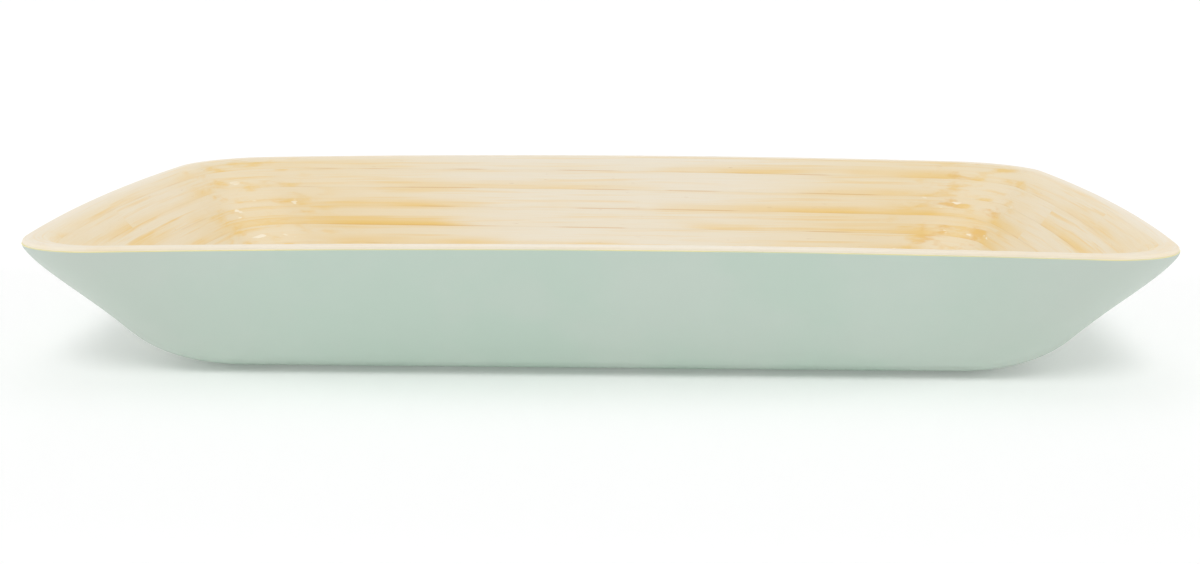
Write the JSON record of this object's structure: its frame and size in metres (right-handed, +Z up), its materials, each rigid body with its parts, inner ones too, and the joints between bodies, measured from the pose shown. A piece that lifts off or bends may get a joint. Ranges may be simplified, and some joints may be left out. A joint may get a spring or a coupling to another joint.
{
  "type": "bamboo tray",
  "caption": "Shallow rectangular serving tray of wound bamboo strips with flared walls, bowed ends, a bare bamboo rim and a satin lacquered outside.",
  "frame": {"origin": "under the middle of the base, on the surface the tray stands on", "axes": "+X along the tray's length to the right as seen from the front, -Y to the front, +Z up"},
  "size_m": [0.36, 0.23, 0.0478],
  "materials": {
    "bamboo_pale": "sanded bamboo, clear satin finish, pale cane",
    "bamboo_straw": "sanded bamboo, clear satin finish, straw coloured cane",
    "bamboo_honey": "sanded bamboo, clear satin finish, warmer cane",
    "mint_lacquer": "satin grey-green lacquer, slightly mottled"
  },
  "bodies": {
    "root": {"core_slat": "bamboo_pale", "floor_strip_01": "bamboo_straw", "floor_strip_02": "bamboo_pale", "floor_strip_03": "bamboo_honey", "floor_strip_04": "bamboo_pale", "floor_strip_05": "bamboo_straw", "floor_strip_06": "bamboo_straw", "floor_strip_07": "bamboo_pale", "floor_strip_08": "bamboo_honey", "floor_strip_09": "bamboo_straw", "floor_strip_10": "bamboo_straw", "bend_strip_01": "bamboo_pale", "bend_strip_02": "bamboo_honey", "bend_strip_03": "bamboo_pale", "bend_strip_04": "bamboo_straw", "bend_strip_05": "bamboo_straw", "bend_strip_06": "bamboo_pale", "bend_strip_07": "bamboo_honey", "bend_strip_08": "bamboo_straw", "bend_strip_09": "bamboo_straw", "wall_strip_01": "bamboo_pale", "wall_strip_02": "bamboo_honey", "wall_strip_03": "bamboo_pale", "wall_strip_04": "bamboo_straw", "wall_strip_05": "bamboo_straw", "wall_strip_06": "bamboo_pale", "wall_strip_07": "bamboo_honey", "rim_strip_01": "bamboo_straw", "rim_strip_02": "bamboo_straw", "rim_strip_03": "bamboo_pale", "base_lacquer": "mint_lacquer", "wall_lacquer": "mint_lacquer"}
  },
  "joints": []
}
